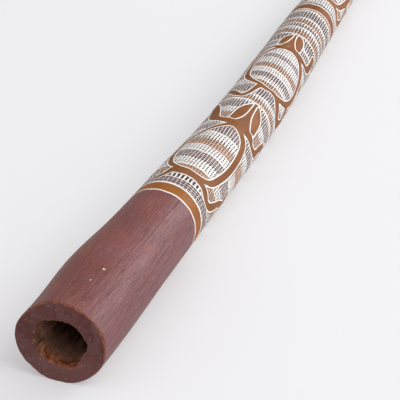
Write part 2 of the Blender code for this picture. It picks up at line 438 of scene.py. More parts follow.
def motif_b(**m):
    inner = curve(place(MEDAL_B, **m), closed=True)
    ins = shape(inner)
    medal[:] = np.where(np.abs(ins) < np.abs(medal), ins, medal)
    edge = place([(572.5, 56, 3.0), (576, 80, 3.4), (587, 103, 3.6), (609, 117, 3.0),
                  (646, 122, 2.2), (673, 113.5, 2.2), (689, 96, 2.6), (696, 72, 3.2),
                  (694, 48, 3.8), (683, 27, 4.2), (662, 9, 4.4), (638, -3, 4.4),
                  (614, -3, 4.2), (590, 9, 4.2), (576, 30, 3.8)], **m)
    stroke(straps, curve(edge, closed=True))
    stroke(straps, curve(place([(572, 62, 4.2), (570, 74, 3.6), (560, 78.5, 2.8), (546, 83, 2.6),
                                (535, 92, 3.2), (538, 104, 4.0), (547, 116, 4.4),
                                (556, 130, 3.6)], **m)))
    stroke(straps, curve(place([(573, 46, 4.2), (572, 34, 4.6), (562, 20, 5.4), (553, 6, 5.8),
                                (557, -9, 5.8), (571, -19, 5.2), (588, -30, 4.2)], **m)))
    stroke(straps, curve(place([(697, 102, 3.0), (698, 84, 4.2), (699, 64, 5.2), (699, 44, 5.0),
                                (698, 24, 4.6), (701, 11, 4.8), (712, 5, 5.2), (728, 5, 5.4),
                                (738, 8, 4.6)], **m)))
    stroke(straps, curve(place([(697, 100, 2.8), (693, 111, 2.6), (681, 121, 2.4),
                                (662, 129, 2.4), (640, 134, 2.2)], **m)))
    leaf = curve(place([(704, 95), (714, 97), (728, 95), (740, 86), (748.5, 72),
                        (743, 58), (732, 50), (718, 47), (704, 50), (704.5, 72)], **m), closed=True)
    straps[:] = np.minimum(straps, shape(leaf))
    for lobe in ([(706, 89), (708, 103), (722, 107), (738, 100), (751, 82), (746, 77.5),
                  (733, 78), (720, 80.5), (712, 84)],
                 [(706, 56), (713, 62), (724, 67), (736, 69.5), (747, 69.5), (751, 60),
                  (738, 44), (718, 38), (707, 43)]):
        sd_ = shape(curve(place(lobe, **m), closed=True))
        veins[:] = np.where(np.abs(sd_) < np.abs(veins), sd_, veins)


plain = dict(ds=0.0, turn=0.0, mirror=False)
motif_a(**plain)
motif_b(**plain)
# the far side of the branch, not an exact copy
back = dict(ds=14.0, turn=180.0, mirror=True, s_mid=300.0, stretch=0.985)
motif_a(**back)
motif_b(**back)
# past the second ring the branch is thinner, so the same drawing goes further round
thin = dict(ds=594.0, turn=-2.0, mirror=False, grow=1.16)
motif_a(**thin)
thin_back = dict(ds=600.0, turn=178.0, mirror=True, grow=1.16)
motif_a(**thin_back)

# bands of colour: (from, to, colour) with colour 0 white, 1 mauve, 2 ochre
BANDS_OUT = [(277, 295, 1), (295, 309, 0), (309, 324, 2), (324, 345, 0), (345, 369, 1),
             (369, 389, 0), (389, 412, 2), (412, 430, 0), (430, 447, 1), (447, 462, 0),
             (462, 483, 2), (483, 500, 0), (500, 520, 1), (520, 528, 0), (528, 539, 2),
             (539, 548, 0), (548, 570, 1), (570, 590, 0), (590, 606, 2), (606, 622, 0),
             (622, 640, 1), (640, 656, 0), (656, 672, 2), (672, 686, 0), (686, 702, 1),
             (702, 709, 0), (709, 722, 1), (722, 731, 0), (731, 746, 1), (746, 752, 0),
             (752, 767, 2), (767, 778, 0), (778, 787, 1), (787, 792, 0), (792, 804, 2),
             (804, 813, 0), (813, 833, 1), (833, 842, 0), (842, 849, 2), (849, 870, 0),
             (870, 879, 1), (879, 905, 0), (905, 918, 2), (918, 938, 0), (938, 962, 1),
             (962, 982, 0), (982, 1003, 2), (1003, 1022, 0), (1022, 1041, 1),
             (1041, 1056, 0), (1056, 1068, 2), (1068, 1079, 0), (1079, 1094, 1)]
BANDS_A = [(300, 333, 2), (333, 353, 0), (353, 371.5, 1), (371.5, 387, 0), (387, 405, 2),
           (405, 423, 0), (423, 470, 1)]
BANDS_B = [(560, 592, 2), (592, 602, 0), (602, 617, 1), (617, 630, 0), (630, 643, 2),
           (643, 662, 0), (662, 676, 1), (676, 710, 0)]


def band_distance(x, bands, colour):
    """Signed distance along the branch to bands of one colour, negative inside."""
    best = np.full(x.shape, 1e3)
    for lo, hi, col in bands:
        if col == colour:
            best = np.minimum(best, np.maximum(lo - x, x - hi))
    return best


# bands lean and bow a little as a hand draws them
lean = 2.2 * np.sin(np.radians(TH - 20.0)) + 1.4 * np.sin(np.radians(2 * TH + 60.0)) \
    + 1.0 * field(51, RS, np.radians(TH), 10, (1.0, 6.0), (1, 4))
inside_medal = medal < 0
phase = np.where(S > 868, S - 594.0, S)
xin = np.where(S > 868, phase, S)
x_med = xin + lean * 0.8 + 2.0 * np.cos(np.radians(wrap(TH - 74.0)) * 1.2)
x_out = S + lean
sec2 = S > 868
# the far side's medallions are moved on along the branch
back_side = np.abs(wrap(TH - 254.0)) < 80
x_med = np.where(back_side & ~sec2, (x_med - 14.0 - 300.0) / 0.985 + 300.0, x_med)
x_med = np.where(back_side & sec2, x_med - 6.0, x_med)

LINES_A = (333, 371.5, 387, 423)
LINES_B = (592, 617, 630, 662, 676)
LINES_OUT = (295, 324, 369, 389, 430, 462, 500, 528, 548, 590, 622, 656, 686, 722, 752, 778,
             792, 813, 842, 879, 918, 962, 982, 1022, 1056, 1079)


def line_distance(x, lines):
    """Signed distance (mm) along the branch to the nearest solid line."""
    best = np.full(x.shape, 1e3)
    for at_ in lines:
        dd = x - at_
        best = np.where(np.abs(dd) < np.abs(best), dd, best)
    return best


def comb_distance(x, bands, lines, reach=3.6):
    """Signed distance to the strips beside a coloured band with no solid line,
    where the lengthwise strokes run out like the teeth of a comb."""
    best = np.full(x.shape, 1e3)
    for lo, hi, col in bands:
        if col == 0:
            continue
        if lo not in lines:
            best = np.minimum(best, np.maximum(lo - reach - x, x - lo))
        if hi not in lines:
            best = np.minimum(best, np.maximum(hi - x, x - hi - reach))
    return best


tone = {}
in_a = x_med < 520
for col in (1, 2):
    dm = np.where(in_a, band_distance(x_med, BANDS_A, col), band_distance(x_med, BANDS_B, col))
    do = band_distance(x_out, BANDS_OUT, col)
    tone[col] = np.where(inside_medal, dm, do)
lines = np.where(inside_medal, np.where(in_a, line_distance(x_med, LINES_A), line_distance(x_med, LINES_B)),
                 line_distance(x_out, LINES_OUT))
comb = np.where(inside_medal, np.where(in_a, comb_distance(x_med, BANDS_A, LINES_A),
                                       comb_distance(x_med, BANDS_B, LINES_B)),
                comb_distance(x_out, BANDS_OUT, LINES_OUT))
# the field next to the first ring ends in one row of long strokes
comb = np.minimum(comb, np.where(inside_medal, 1e3, np.maximum(294.0 - x_out, x_out - 306.5)))
row_coord = np.where(inside_medal, x_med + 2.3, x_out)

# places where the maroon coat is nicked through, as (s, angle, radius in mm)
nick = np.full(S.shape, 1e3)
for s_, a_, r_ in ((46.5, 76.3, 1.2), (49.5, 77.5, 1.5), (52.5, 78.3, 1.0), (75.0, 73.5, 1.5),
                   (98.0, 75.0, 0.72), (228.0, 12.0, 0.7), (231.0, 10.5, 0.6), (140.0, 250.0, 1.0),
                   (63.0, 200.0, 0.9), (178.0, 311.0, 0.8), (1180.0, 40.0, 0.8), (1214.0, 215.0, 0.9)):
    y_ = np.radians(wrap(TH - a_)) * RM
    nick = np.minimum(nick, np.hypot((S - s_) * 0.75, y_) - r_)
scuffs = np.full(S.shape, 1e3)
for s_, a_, r_ in ((105.0, 116.0, 5.5), (148.0, 46.0, 3.0), (36.0, 118.0, 4.0), (120.0, 245.0, 6.0),
                   (205.0, 305.0, 5.0), (1150.0, 100.0, 4.0), (1205.0, 280.0, 5.0), (1243.0, 30.0, 5.0)):
    y_ = np.radians(wrap(TH - a_)) * RM
    scuffs = np.minimum(scuffs, np.hypot((S - s_) * 0.6, y_) - r_)

# ---------------------------------------------------------------------
# values carried by the mesh
# ---------------------------------------------------------------------


def put(name, values):
    at = mesh.attributes.new(name, 'FLOAT', 'POINT')
    at.data.foreach_set("value", np.ascontiguousarray(values, dtype=np.float32).reshape(-1))


clip = 20.0
put("strap", np.clip(straps, -clip, clip))
put("vein", np.clip(veins, -clip, clip))
put("mauve", np.clip(tone[1], -clip, clip))
put("ochre", np.clip(tone[2], -clip, clip))
put("row", row_coord)
put("line", np.clip(lines, -clip, clip))
put("comb", np.clip(comb, -clip, clip))
put("nick", np.clip(nick, -clip, clip))
put("scuff", np.clip(scuffs, -clip, clip))
put("lowlip", np.sin(np.broadcast_to(theta, RS.shape)))
put("along", S)
# painted light: a side value, 1 on the shaded left side of the branch and 0 on the lit right side
put("shade_side", 0.5 + 0.5 * np.cos(np.broadcast_to(theta, RS.shape) - math.radians(160.0)))
sf = RS.reshape(-1)
_, uf, wf = axes(sf)
df = P.reshape(-1, 3) - SHIFT - centre(sf)
straight = np.stack([(df * uf).sum(1), sf, (df * wf).sum(1)], -1)
at_ = mesh.attributes.new("straight", 'FLOAT_VECTOR', 'POINT')
at_.data.foreach_set("vector", np.ascontiguousarray(straight, dtype=np.float32).reshape(-1))
put("part", np.broadcast_to(PART[:, None].astype(float), S.shape))
rad_frac = np.zeros(S.shape)
rad_frac[:] = np.where(PART[:, None] == 2, 1.0, 0.0)
put("face", rad_frac)

# the angle jumps at the seam, so it is kept on face corners
ring_i = quads // NT
loop_vertex = quads.copy()
if vol < 0:
    lv = np.zeros(len(mesh.loops), np.int32)
    mesh.loops.foreach_get("vertex_index", lv)
    loop_vertex = lv.reshape(-1, 4)
col_i = loop_vertex % NT
row_i = loop_vertex // NT
seam = (col_i.max(1) == NT - 1) & (col_i.min(1) == 0)
turn_ = col_i / NT
turn_ = np.where(seam[:, None] & (col_i == 0), 1.0, turn_)
skin = mesh.uv_layers.new(name="skin")
uv = np.stack([RS.reshape(-1)[loop_vertex.reshape(-1)], turn_.reshape(-1)], -1)
skin.data.foreach_set("uv", uv.astype(np.float32).reshape(-1))

# a layout of its own for textures: the branch unrolled in two long rows,
# the hollow in two thin ones, the sawn face and lip in a strip
path = np.zeros(NR + 1)
steps_ = np.linalg.norm(P[(np.arange(NR) + 1) % NR] - P, axis=2).mean(1)
path[1:] = np.cumsum(steps_)
weight = np.ones(NR)
smid = RS.mean(1)
outer_ring = PART == 0
weight[outer_ring & ((smid < 0.245) | (smid > 1.12))] = 0.55
wpath = np.zeros(NR + 1)
wpath[1:] = np.cumsum(steps_ * weight)
n_outer = int(np.sum(PART <= 0))
n_face = int(np.sum((PART >= 1) & (PART <= 3)))
first_bore = int(np.argmax(PART == 4))
split = int(np.argmin(np.abs(wpath[:n_outer] - 0.5 * wpath[n_outer])))
bore_mid = first_bore + int(np.sum(PART == 4)) // 2
areas = [(0, split, 0.005, 0.395, 1), (split, n_outer - 1, 0.405, 0.800, 1),
         (n_outer - 1, first_bore, 0.815, 0.885, 2),
         (first_bore, bore_mid, 0.895, 0.940, 1), (bore_mid, NR, 0.950, 0.995, 1)]
quad_ring = np.minimum(row_i.min(1), row_i.max(1))
wrap_q = (row_i.max(1) == NR - 1) & (row_i.min(1) == 0)
quad_ring = np.where(wrap_q, NR - 1, quad_ring)
bake_uv = np.zeros((len(quads), 4, 2))
ringpos = row_i.astype(float)
ringpos = np.where(wrap_q[:, None] & (row_i == 0), NR, ringpos).astype(int)
for lo, hi, v0, v1, kind in areas:
    sel = (quad_ring >= lo) & (quad_ring < hi)
    along_ = (wpath[ringpos[sel]] - wpath[lo]) / (wpath[hi] - wpath[lo])
    if kind == 1:
        bake_uv[sel, :, 0] = 0.005 + 0.990 * along_
        bake_uv[sel, :, 1] = v0 + (v1 - v0) * turn_[sel]
    else:
        bake_uv[sel, :, 0] = 0.005 + 0.990 * turn_[sel]
        bake_uv[sel, :, 1] = v0 + (v1 - v0) * along_
bake = mesh.uv_layers.new(name="OFBake")
bake.data.foreach_set("uv", bake_uv.astype(np.float32).reshape(-1))


# =====================================================================
# materials
# =====================================================================
def lin(r, g, b):
    out = []
    for c_ in (r, g, b):
        c_ /= 255.0
        out.append(c_ / 12.92 if c_ <= 0.04045 else ((c_ + 0.055) / 1.055) ** 2.4)
    return (*out, 1.0)


class Nodes:
    """Short hand for building a node tree."""

    def __init__(self, name):
        self.mat = bpy.data.materials.new(name)
        self.mat.use_nodes = True
        self.t = self.mat.node_tree
        self.t.nodes.clear()
        self.out = self.t.nodes.new("ShaderNodeOutputMaterial")
        self.bsdf = self.t.nodes.new("ShaderNodeBsdfPrincipled")
        self.t.links.new(self.bsdf.outputs[0], self.out.inputs[0])

    def link(self, value, socket):
        if isinstance(value, bpy.types.NodeSocket):
            self.t.links.new(value, socket)
        elif value is not None:
            socket.default_value = value

    def attr(self, name):
        n = self.t.nodes.new("ShaderNodeAttribute")
        n.attribute_type = 'GEOMETRY'
        n.attribute_name = name
        return n.outputs["Fac"]

    def m(self, op, a, b=None, c=None, clamp=False):
        n = self.t.nodes.new("ShaderNodeMath")
        n.operation = op
        n.use_clamp = clamp
        self.link(a, n.inputs[0])
        if b is not None:
            self.link(b, n.inputs[1])
        if c is not None:
            self.link(c, n.inputs[2])
        return n.outputs[0]

    def ramp(self, x, lo, hi, a=0.0, b=1.0, smooth_=True):
        n = self.t.nodes.new("ShaderNodeMapRange")
        n.interpolation_type = 'SMOOTHSTEP' if smooth_ else 'LINEAR'
        self.link(x, n.inputs["Value"])
        self.link(lo, n.inputs["From Min"])
        self.link(hi, n.inputs["From Max"])
        self.link(a, n.inputs["To Min"])
        self.link(b, n.inputs["To Max"])
        return n.outputs["Result"]

    def mix(self, f, a, b, mode='MIX'):
        n = self.t.nodes.new("ShaderNodeMix")
        n.data_type = 'RGBA'
        n.blend_type = mode
        n.clamp_factor = True
        self.link(f, n.inputs["Factor"])
        self.link(a, n.inputs["A"] if False else n.inputs[6])
        self.link(b, n.inputs[7])
        return n.outputs[2]

    def coords(self, scale, kind="Object"):
        mp = self.t.nodes.new("ShaderNodeMapping")
        mp.inputs["Scale"].default_value = scale
        if kind == "straight":                    # runs true along the crooked branch
            n = self.t.nodes.new("ShaderNodeAttribute")
            n.attribute_type = 'GEOMETRY'
            n.attribute_name = "straight"
            self.t.links.new(n.outputs["Vector"], mp.inputs["Vector"])
        else:
            n = self.t.nodes.new("ShaderNodeTexCoord")
            self.t.links.new(n.outputs[kind], mp.inputs["Vector"])
        return mp.outputs[0]

    def noise(self, scale, vec=(1, 1, 1), detail=3.0, rough=0.55, kind="Object", dist=0.0):
        n = self.t.nodes.new("ShaderNodeTexNoise")
        n.inputs["Scale"].default_value = scale
        n.inputs["Detail"].default_value = detail
        n.inputs["Roughness"].default_value = rough
        n.inputs["Distortion"].default_value = dist
        self.t.links.new(self.coords(vec, kind), n.inputs["Vector"])
        return n.outputs["Fac"]

    def voronoi(self, scale, vec=(1, 1, 1), rand=1.0):
        n = self.t.nodes.new("ShaderNodeTexVoronoi")
        n.inputs["Scale"].default_value = scale
        n.inputs["Randomness"].default_value = rand
        self.t.links.new(self.coords(vec), n.inputs["Vector"])
        return n.outputs["Distance"], n.outputs["Color"]

    def bump(self, height, distance, strength=1.0, normal=None):
        n = self.t.nodes.new("ShaderNodeBump")
        n.inputs["Strength"].default_value = strength
        n.inputs["Distance"].default_value = distance
        self.link(height, n.inputs["Height"])
        if normal is not None:
            self.link(normal, n.inputs["Normal"])
        return n.outputs[0]


def below(n, d, at, soft=0.35):
    """1 where the distance d is under at, with a short soft edge."""
    return n.ramp(d, at - soft if not isinstance(at, bpy.types.NodeSocket) else n.m('SUBTRACT', at, soft),
                  at + soft if not isinstance(at, bpy.types.NodeSocket) else n.m('ADD', at, soft), 1.0, 0.0)


ROW_W, ROW_C = 0.72, 0.40          # half widths of the lines, mm: in white, in coloured bands
COL_W, COL_C = 1.00, 0.41
MAROON_A, MAROON_B = lin(119, 65, 59), lin(131, 73, 68)
# the last colour here is painted shade, the browner tint of the shaded left side
MAROON_C, MAROON_SHADE_SIDE = lin(120, 80, 84), lin(122, 66, 53)
GROUND_A, GROUND_B = lin(66, 44, 36), lin(48, 34, 30)
MAUVE_A, MAUVE_B = lin(68, 34, 52), lin(86, 49, 67)
OCHRE_A, OCHRE_B = lin(122, 64, 0), lin(146, 80, 0)
WHITE_A, WHITE_B, WHITE_D = lin(245, 241, 237), lin(236, 230, 224), lin(250, 247, 243)
BROWN_A, BROWN_B = lin(124, 74, 32), lin(142, 87, 40)
RING_A, RING_B = lin(138, 80, 20), lin(154, 91, 27)
FACE_A, FACE_B, FACE_C = lin(93, 53, 50), lin(104, 61, 58), lin(72, 42, 40)


def paint_material():
    n = Nodes("painted_wood")
    A = n.attr
    along, strap, vein = A("along"), A("strap"), A("vein")
    mauve, ochre, row = A("mauve"), A("ochre"), A("row")
    face = A("face")
    uvn = n.t.nodes.new("ShaderNodeUVMap")
    uvn.uv_map = "skin"
    sep = n.t.nodes.new("ShaderNodeSeparateXYZ")
    n.t.links.new(uvn.outputs[0], sep.inputs[0])
    turn = sep.outputs[1]

    # ---- noises shared by the layers
    wob = n.m('SUBTRACT', n.noise(95.0, detail=2.0), 0.5)           # 10 mm, wobble of the hand
    wob2 = n.m('SUBTRACT', n.noise(300.0, detail=2.0), 0.5)         # 3 mm
    grain = n.noise(1.0, vec=(900, 26, 900), detail=3.0, rough=0.60, kind="straight", dist=0.25)   # along the branch
    grain2 = n.noise(1.0, vec=(1150, 30, 1150), detail=2.0, rough=0.6, kind="straight")
    crack = n.noise(1.0, vec=(420, 9, 420), detail=2.0, rough=0.5, kind="straight", dist=0.3)
    grain3 = n.noise(1.0, vec=(250, 5, 250), detail=1.0, rough=0.5, kind="straight")
    shade_side = A("shade_side")
    cloud = n.noise(9.0, detail=4.0, rough=0.55)
    cloud2 = n.noise(34.0, detail=4.0, rough=0.6)
    speck_d, _ = n.voronoi(330.0)
    speck_n = n.noise(60.0, detail=2.0)

    # ---- maroon ground coat
    maroon = n.mix(n.ramp(cloud, 0.36, 0.64), MAROON_A, MAROON_B)
    maroon = n.mix(n.ramp(cloud2, 0.38, 0.68, 0.0, 0.45), maroon, MAROON_C)
    # painted sheen: the lit right side is tinted mauve; painted shade: the shaded left side is tinted browner
    maroon = n.mix(n.ramp(shade_side, 0.60, 0.10, 0.0, 0.62), maroon, MAROON_C)
    maroon = n.mix(n.ramp(shade_side, 0.60, 1.00, 0.0, 0.55), maroon, MAROON_SHADE_SIDE)
    maroon = n.mix(n.ramp(grain3, 0.40, 0.62, 0.0, 0.16), maroon, lin(92, 52, 50))
    sheen_side_grain = n.ramp(shade_side, 0.75, 0.35, 0.35, 1.0)       # the grain shows most on the lit right side, where the sheen falls
    # the pale streaks are painted sheen on the grain; the dark grain lines and hair cracks are real, drawn mostly on
    # the lit side where the sheen shows them
    maroon = n.mix(n.m('MULTIPLY', n.ramp(grain2, 0.53, 0.60, 0.0, 0.30), sheen_side_grain), maroon, lin(160, 120, 124))
    maroon = n.mix(n.m('MULTIPLY', n.ramp(grain, 0.54, 0.60, 0.0, 0.46), sheen_side_grain), maroon, lin(70, 38, 40))
    hair = n.ramp(n.m('ABSOLUTE', n.m('SUBTRACT', crack, 0.5)), 0.006, 0.022, 1.0, 0.0)
    hair = n.m('MULTIPLY', hair, n.ramp(n.noise(24.0, detail=1.0), 0.42, 0.56))
    maroon = n.mix(n.m('MULTIPLY', hair, n.m('MULTIPLY', sheen_side_grain, 0.34)), maroon, lin(58, 32, 34))
    # scuffs down to older orange paint
    scuff = n.m('MULTIPLY', below(n, n.m('ADD', A("scuff"), n.m('MULTIPLY', wob, 9.0)), 0.0, 1.8),
                n.ramp(n.noise(1.0, vec=(330, 150, 330), detail=3.0, rough=0.7), 0.37, 0.50))
    maroon = n.mix(n.m('MULTIPLY', scuff, 0.62), maroon, lin(150, 84, 44))
    worn = n.m('MULTIPLY', n.ramp(n.noise(26.0, vec=(1, 0.55, 1), detail=3.0), 0.66, 0.76),
               n.ramp(n.noise(240.0, detail=2.0), 0.44, 0.62))
    maroon = n.mix(n.m('MULTIPLY', worn, 0.35), maroon, lin(150, 92, 62))
    # small dark and pale specks, and the tooth of the coat
    tooth = n.noise(620.0, detail=2.0, rough=0.6)
    maroon = n.mix(n.ramp(tooth, 0.50, 0.62, 0.0, 0.26), maroon, lin(72, 40, 40))
    maroon = n.mix(n.ramp(tooth, 0.48, 0.38, 0.0, 0.14), maroon, lin(172, 122, 118))
    dark_spot = n.m('MULTIPLY', n.ramp(speck_d, 0.13, 0.22, 1.0, 0.0), n.ramp(speck_n, 0.52, 0.66))
    maroon = n.mix(n.m('MULTIPLY', dark_spot, 0.5), maroon, lin(58, 34, 34))
    nicked = below(n, n.m('ADD', A("nick"), n.m('MULTIPLY', wob2, 1.6)), 0.0, 0.3)
    maroon = n.mix(n.m('MULTIPLY', nicked, 0.9), maroon, lin(236, 214, 196))

    # ---- hatching: brush lines round and along, on a coloured ground
    rows_at = n.m('DIVIDE', n.m('ADD', row, n.m('MULTIPLY', wob, 1.7)), 4.3)
    up = n.ramp(along, 330.0, 540.0)                    # bolder, more open work further up
    # wider apart in the border by the first ring, and beyond the second oval
    coarse = n.m('MAXIMUM', n.m('LESS_THAN', along, 309.3), n.m('GREATER_THAN', along, 722.0))
    cols_at = n.m('MULTIPLY', turn, n.m('SUBTRACT', 68.0, n.m('MULTIPLY', coarse, 14.0)))
    cols_at = n.m('ADD', cols_at, n.m('MULTIPLY', wob, 0.45))
    cols_at = n.m('ADD', cols_at, n.m('MULTIPLY', n.m('SUBTRACT', n.noise(1.0, vec=(30, 60, 30), detail=1.0), 0.5), 0.6))
    rows_d = n.m('MULTIPLY', n.m('ABSOLUTE', n.m('SUBTRACT', n.m('FRACT', rows_at), 0.5)), 4.3)
    cols_d = n.m('MULTIPLY', n.m('ABSOLUTE', n.m('SUBTRACT', n.m('FRACT', cols_at), 0.5)),
                 n.m('ADD', 3.7, n.m('MULTIPLY', coarse, 0.96)))
    thick = n.m('MULTIPLY', wob2, 1.0)
    # white where near a line; the lines are wide in the white bands
    is_mauve = below(n, n.m('ADD', mauve, n.m('MULTIPLY', wob, 2.2)), 0.0, 0.3)
    is_ochre = below(n, n.m('ADD', ochre, n.m('MULTIPLY', wob, 2.2)), 0.0, 0.3)
    is_comb = below(n, n.m('ADD', A("comb"), n.m('MULTIPLY', wob2, 2.4)), 0.0, 0.3)
    coloured = n.m('MAXIMUM', is_mauve, is_ochre)
    row_w = n.m('SUBTRACT', ROW_W, n.m('MULTIPLY', up, 0.10))
    row_c = n.m('SUBTRACT', ROW_C, n.m('MULTIPLY', up, 0.20))
    row_half = n.m('ADD', n.ramp(coloured, 0, 1, row_w, row_c, False), n.m('MULTIPLY', thick, 0.5))
    row_half = n.m('SUBTRACT', row_half, n.m('MULTIPLY', is_comb, 3.0))
    row_half = n.m('SUBTRACT', row_half, n.m('MULTIPLY', is_ochre, 0.05))
    col_c = n.m('ADD', n.ramp(along, 295.0, 400.0, COL_C - 0.12, COL_C + 0.06), n.m('MULTIPLY', up, 0.11))
    col_w = n.m('ADD', COL_W, n.m('MULTIPLY', up, 0.03))
    col_half = n.m('ADD', n.ramp(coloured, 0, 1, col_w, col_c, False), n.m('MULTIPLY', thick, 0.6))
    col_half = n.m('SUBTRACT', col_half, n.m('MULTIPLY', is_ochre, 0.13))
    row_line = below(n, rows_d, row_half, 0.18)
    col_line = below(n, cols_d, col_half, 0.18)
    # lines round the branch are thinner paint in the coloured bands
    cover_row = n.m('MULTIPLY', n.ramp(n.noise(420.0, detail=2.0), 0.30, 0.55, 0.60, 1.0),
                    n.ramp(coloured, 0, 1, 1.0, 0.94, False))
    cover_col = n.m('MULTIPLY', n.ramp(n.noise(1.0, vec=(330, 120, 330), detail=2.0), 0.30, 0.58, 0.60, 1.0),
                    n.ramp(coloured, 0, 1, 1.0, 0.82, False))
    hatch = n.m('MAXIMUM', n.m('MULTIPLY', row_line, cover_row), n.m('MULTIPLY', col_line, cover_col))
    dots = n.m('MULTIPLY', row_line, col_line)

    ground = n.mix(n.ramp(cloud2, 0.3, 0.7), GROUND_A, GROUND_B)     # under the white bands
    mauve_c = n.mix(n.ramp(cloud2, 0.32, 0.66), MAUVE_A, MAUVE_B)
    ochre_c = n.mix(n.ramp(cloud2, 0.32, 0.66), OCHRE_A, OCHRE_B)
    tint = n.mix(is_ochre, n.mix(is_mauve, ground, mauve_c), ochre_c)
    tint = n.mix(n.ramp(grain, 0.45, 0.7, 0.0, 0.35), tint, lin(70, 46, 38))
    tint = n.mix(n.m('MULTIPLY', up, n.m('MULTIPLY', n.m('SUBTRACT', 1.0, is_ochre), 0.74)), tint, lin(54, 20, 42))
    tint = n.mix(n.m('MULTIPLY', up, n.m('MULTIPLY', is_ochre, 0.45)), tint, lin(100, 50, 2))
    white = n.mix(n.ramp(cloud2, 0.35, 0.7), WHITE_A, WHITE_B)
    white = n.mix(n.ramp(grain, 0.5, 0.75, 0.0, 0.26), white, lin(196, 180, 164))
    cream = n.mix(coloured, white, lin(243, 233, 219))
    fieldc = n.mix(hatch, tint, cream)
    fieldc = n.mix(n.m('MULTIPLY', dots, 0.7), fieldc, WHITE_D)

    # solid white lines where bands of colour meet
    line_d = n.m('ABSOLUTE', n.m('ADD', A("line"), n.m('MULTIPLY', wob, 2.2)))
    edge = below(n, line_d, n.m('ADD', 0.85, n.m('MULTIPLY', wob2, 0.9)), 0.3)
    fieldc = n.mix(n.m('MULTIPLY', edge, cover_row), fieldc, white)

    # ---- brown strapwork with a white outline
    sd = n.m('ADD', strap, n.m('MULTIPLY', wob2, 0.7))
    outline = below(n, sd, n.m('ADD', 1.65, n.m('MULTIPLY', wob, 0.9)), 0.3)
    inside = below(n, sd, 0.0, 0.28)
    brown = n.mix(n.ramp(cloud2, 0.32, 0.68), BROWN_A, BROWN_B)
    brown = n.mix(n.ramp(grain, 0.44, 0.68, 0.0, 0.40), brown, lin(100, 58, 36))
    brown = n.mix(n.ramp(grain2, 0.54, 0.72, 0.0, 0.22), brown, lin(180, 126, 84))
    gap = below(n, sd, n.m('ADD', 2.75, n.m('MULTIPLY', wob2, 1.8)), 0.4)   # the hatching stops short of the outline
    fieldc = n.mix(n.m('MULTIPLY', gap, 0.50), fieldc, lin(74, 46, 40))
    body = n.mix(outline, fieldc, white)
    brown = n.mix(n.ramp(sd, -1.1, -0.1, 0.0, 0.55), brown, lin(70, 40, 20))
    body = n.mix(inside, body, brown)
    vein_d = n.m('ABSOLUTE', n.m('ADD', vein, n.m('MULTIPLY', wob2, 0.5)))
    veinl = n.m('MULTIPLY', below(n, vein_d, n.m('ADD', 0.72, n.m('MULTIPLY', wob, 0.5)), 0.28), inside)
    body = n.mix(veinl, body, white)

    # ---- rings round the branch
    at = n.m('ADD', along, n.m('MULTIPLY', wob, 1.6))
    at = n.m('ADD', at, n.m('MULTIPLY', n.m('SUBTRACT', n.noise(14.0, detail=1.0), 0.5), 3.2))
    at2 = n.m('ADD', at, n.m('MULTIPLY', wob2, 0.6))

    def between(lo, hi, soft=0.35):
        return n.m('MULTIPLY', n.ramp(at2, lo - soft, lo + soft), n.ramp(at2, hi - soft, hi + soft, 1.0, 0.0))

    ring = n.mix(n.ramp(cloud2, 0.3, 0.7), RING_A, RING_B)
    ring = n.mix(n.ramp(grain, 0.46, 0.7, 0.0, 0.35), ring, lin(128, 72, 36))
    ring_b = n.mix(0.5, ring, brown)
    painted = n.ramp(at2, 254.6, 255.3)
    painted = n.m('MULTIPLY', painted, n.ramp(at2, 1112.7, 1113.3, 1.0, 0.0))
    body = n.mix(between(254.6, 277.4), body, white)
    body = n.mix(between(257.2, 274.6), body, ring)
    body = n.mix(between(847.6, 870.6), body, white)
    body = n.mix(between(849.6, 868.2), body, ring_b)
    body = n.mix(between(1093.6, 1113.4), body, white)
    body = n.mix(between(1096.0, 1110.6), body, ring_b)
    skinc = n.mix(painted, maroon, body)

    # ---- sawn face: duller coat, darker, with saw lines
    face_c = n.mix(n.ramp(cloud2, 0.33, 0.68), FACE_A, FACE_B)
    face_c = n.mix(n.ramp(n.noise(170.0, detail=4.0), 0.45, 0.66, 0.0, 0.5), face_c, FACE_C)
    face_c = n.mix(n.ramp(n.noise(75.0, detail=5.0, rough=0.7), 0.46, 0.62, 0.0, 0.40), face_c, lin(116, 84, 88))
    face_c = n.mix(n.ramp(A("lowlip"), 0.1, -0.9, 0.0, 0.42), face_c, lin(122, 84, 80))
    partn = A("part")
    is_rim = n.ramp(partn, 0.55, 1.0)
    skinc = n.mix(is_rim, skinc, face_c)
    # the edge is rubbed back to orange wood, a thin ragged line
    rim_line = n.m('MULTIPLY', n.ramp(along, 0.2, n.ramp(shade_side, 0.6, 0.95, 2.0, 3.4), 1.0, 0.0),
                   n.ramp(partn, 1.0, 1.35, 1.0, 0.0))
    rag = n.ramp(n.noise(330.0, detail=5.0, rough=0.7), 0.42, 0.58)
    upper = n.ramp(A("lowlip"), -0.5, 0.7, 0.45, 1.0)
    rub = n.m('MULTIPLY', n.m('MULTIPLY', rim_line, rag), upper)
    rub2 = n.m('MULTIPLY', n.m('MULTIPLY', n.ramp(along, 0.2, 5.5, 1.0, 0.0), n.ramp(partn, 0.9, 1.6, 1.0, 0.0)),
               n.m('MULTIPLY', n.ramp(n.noise(60.0, detail=3.0), 0.56, 0.66), rag))
    rub = n.m('MAXIMUM', rub, rub2)
    skinc = n.mix(n.m('MULTIPLY', rub, 0.8), skinc, lin(164, 98, 50))
    # pale and orange crumbs on the face
    crumb_d, _ = n.voronoi(300.0)
    crumb = n.m('MULTIPLY', n.ramp(crumb_d, 0.13, 0.20, 1.0, 0.0), n.ramp(n.noise(70.0, detail=2.0), 0.50, 0.60))
    crumb = n.m('MULTIPLY', n.m('MULTIPLY', crumb, n.ramp(along, 8.0, 2.0)), 0.8)
    skinc = n.mix(crumb, skinc, lin(196, 146, 112))
